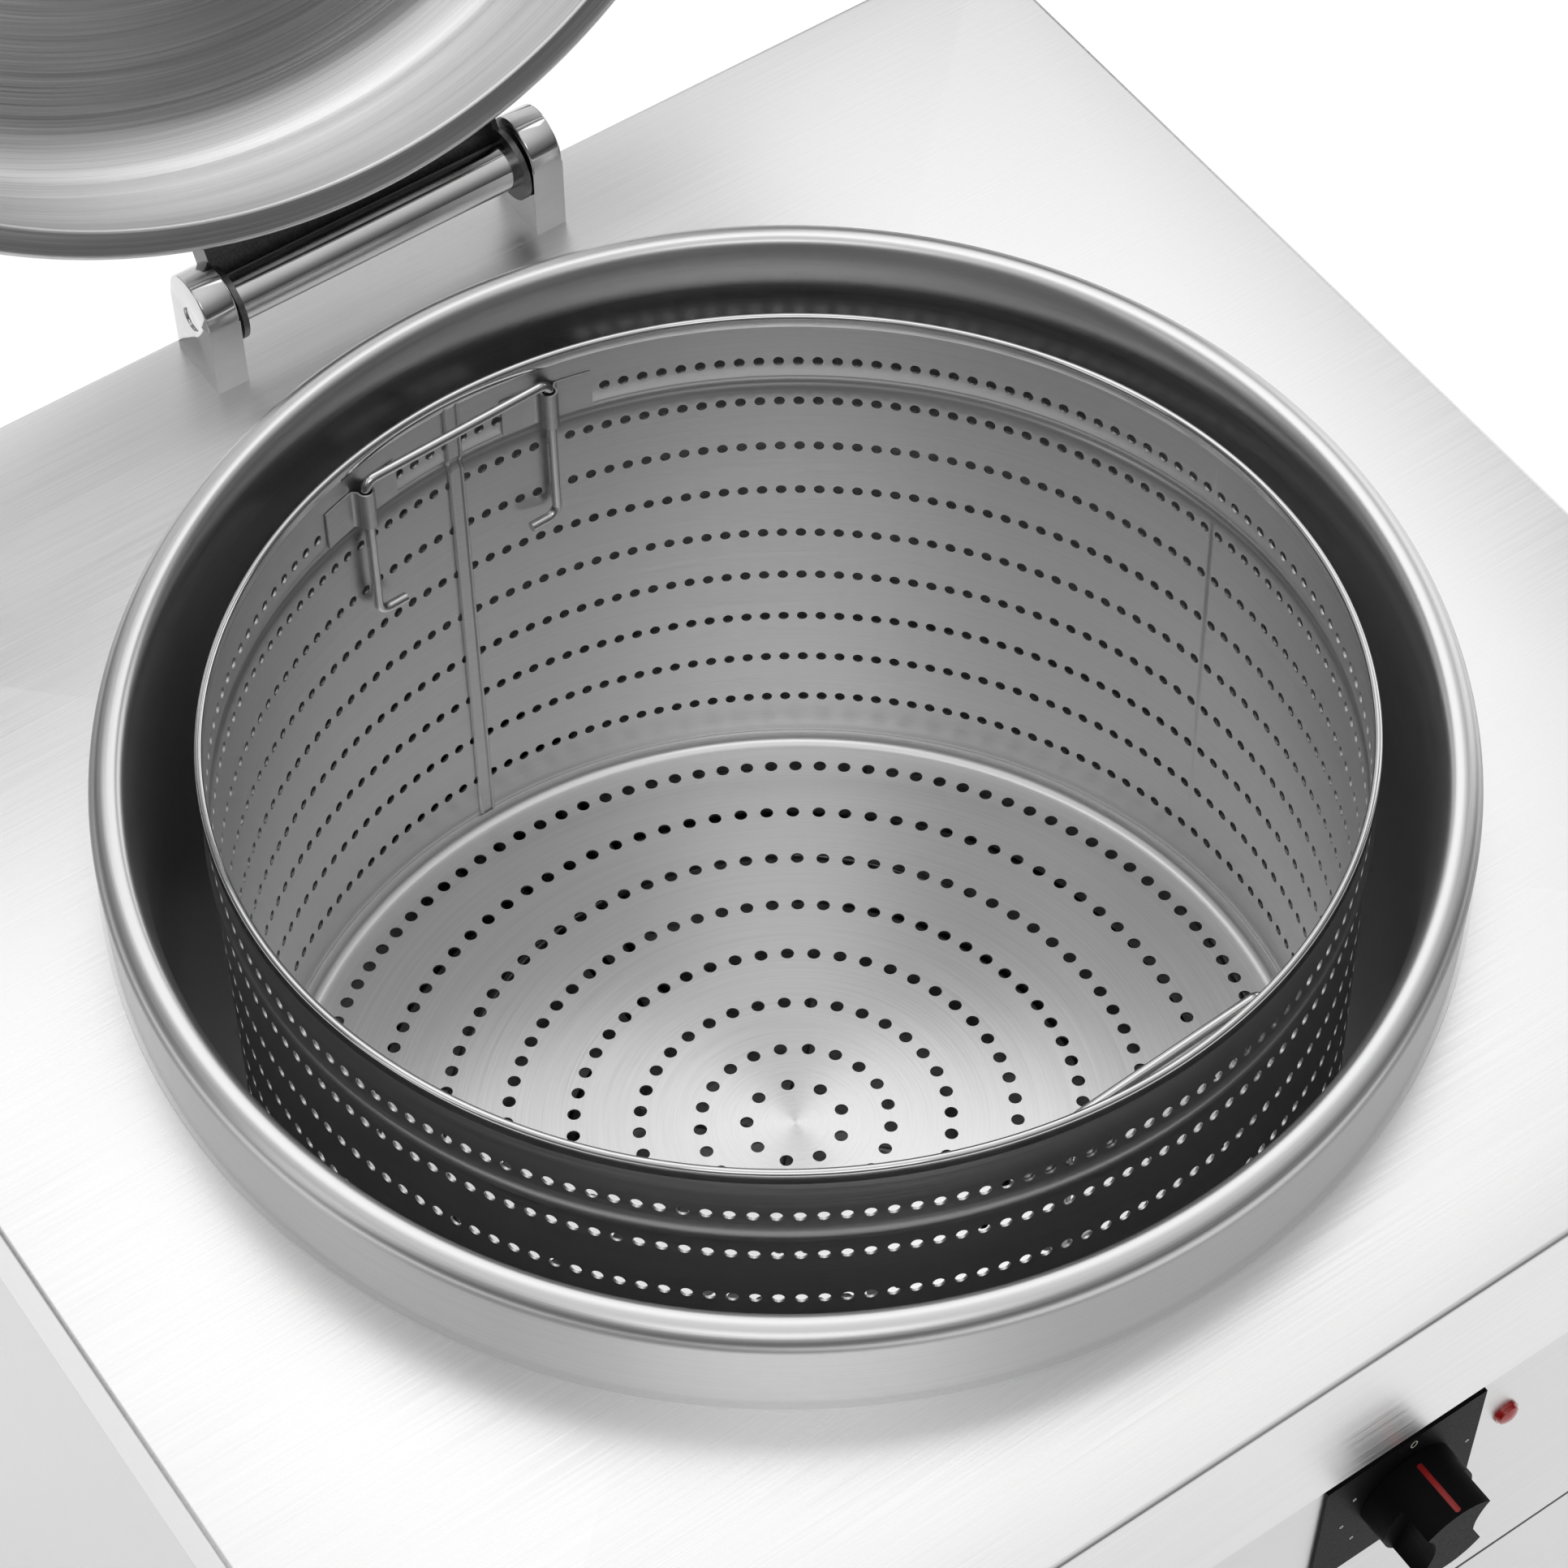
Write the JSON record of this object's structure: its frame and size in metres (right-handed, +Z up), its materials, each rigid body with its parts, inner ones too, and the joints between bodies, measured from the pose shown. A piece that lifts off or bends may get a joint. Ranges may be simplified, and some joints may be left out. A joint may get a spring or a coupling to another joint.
{
  "type": "deep fryer",
  "caption": "Floor-standing round-well deep fryer with a cabinet, a hinged lid, a lift-out strainer basket with sliding bails, a control knob and a drain valve.",
  "frame": {"origin": "floor level under the centre of the cabinet", "axes": "+Z up, the control side faces -Y, +X to the right as seen from the control side"},
  "size_m": [0.8, 1.1594, 1.5297],
  "materials": {
    "worktop_steel": "brushed",
    "panel_steel": "brushed",
    "inner_steel": "satin",
    "lid_steel": "brushed",
    "basket_steel": "satin",
    "bright_chrome": "polished",
    "dark_steel": "satin",
    "black_plastic": "satin",
    "red_lens": "gloss",
    "red_plastic": "satin",
    "light_plastic": "satin",
    "mineral_wool": "matte",
    "copper": "satin",
    "dark_plastic": "satin"
  },
  "bodies": {
    "cabinet": {"worktop": "worktop_steel", "well": "inner_steel", "well_base": "inner_steel", "well_insulation": "mineral_wool", "well_jacket": "panel_steel", "heating_elements": "dark_steel", "element_neck": "inner_steel", "element_flange": "inner_steel", "element_cover": "panel_steel", "support_grid": "inner_steel", "drain_strainer": "inner_steel", "drain_pipe": "inner_steel", "drain_valve": "inner_steel", "lever_nut": "dark_steel", "drain_outlet": "inner_steel", "left_side_panel": "panel_steel", "right_side_panel": "panel_steel", "rear_panel": "panel_steel", "cabinet_floor": "panel_steel", "front_frame": "panel_steel", "control_panel": "panel_steel", "control_plate": "black_plastic", "thermostat": "dark_steel", "thermostat_bulb": "copper", "pilot_lens": "red_lens", "pilot_lamp": "dark_plastic", "equipment_plate": "panel_steel", "limit_thermostat": "light_plastic", "contactor": "dark_plastic", "terminal_block": "light_plastic", "cable_gland": "dark_plastic", "door_brackets": "panel_steel", "door_pins": "dark_steel", "door_magnets": "dark_plastic", "plinth": "panel_steel", "left_hinge_block": "bright_chrome", "right_hinge_block": "bright_chrome", "hinge_pins": "bright_chrome", "hinge_bolts": "dark_steel"},
    "lid": {"hinge_tube": "bright_chrome", "lid_bracket": "dark_steel", "lid_inner": "lid_steel", "lid_outer": "lid_steel", "lid_insulation": "mineral_wool", "lid_handle": "lid_steel"},
    "basket": {"basket_wall": "basket_steel", "basket_floor": "basket_steel", "basket_rim": "bright_chrome", "basket_seam": "basket_steel", "handle_clips": "basket_steel"},
    "rear_bail": {"rear_handle": "bright_chrome"},
    "front_bail": {"front_handle": "bright_chrome"},
    "knob": {"control_knob": "black_plastic", "knob_shaft": "bright_chrome"},
    "left_door": {"left_door": "panel_steel", "left_door_handle": "bright_chrome"},
    "right_door": {"right_door": "panel_steel", "right_door_handle": "bright_chrome"},
    "drain_lever": {"valve_lever": "red_plastic"},
    "reset": {"reset_button": "red_plastic"}
  },
  "joints": [
    {"name": "lid_hinge", "type": "hinge", "parent": "cabinet", "child": "lid", "pos_m": [0, 0.36, 0.887], "axis": [-1, 0, 0], "range_deg": [-118, 0]},
    {"name": "basket_lift", "type": "slide", "parent": "cabinet", "child": "basket", "axis": [0.0558, 0.1044, 0.993], "range_m": [0, 0.33]},
    {"name": "rear_bail_slide", "type": "slide", "parent": "basket", "child": "rear_bail", "axis": [0.0558, 0.1044, 0.993], "range_m": [0, 0.052]},
    {"name": "front_bail_slide", "type": "slide", "parent": "basket", "child": "front_bail", "axis": [0.0558, 0.1044, 0.993], "range_m": [0, 0.052]},
    {"name": "knob_turn", "type": "hinge", "parent": "cabinet", "child": "knob", "pos_m": [0.078, -0.4, 0.69], "axis": [0, 1, 0], "range_deg": [0, 270]},
    {"name": "left_door_hinge", "type": "hinge", "parent": "cabinet", "child": "left_door", "pos_m": [-0.39, -0.37, 0.34], "axis": [0, 0, -1], "range_deg": [0, 110]},
    {"name": "right_door_hinge", "type": "hinge", "parent": "cabinet", "child": "right_door", "pos_m": [0.39, -0.37, 0.34], "axis": [0, 0, 1], "range_deg": [0, 110]},
    {"name": "drain_lever_turn", "type": "hinge", "parent": "cabinet", "child": "drain_lever", "pos_m": [0.15, -0.23, 0.4], "axis": [0, -1, 0], "range_deg": [0, 90]},
    {"name": "reset_press", "type": "slide", "parent": "cabinet", "child": "reset", "axis": [-1, 0, 0], "range_m": [0, 0.002], "stiffness_N_per_m": 400}
  ]
}
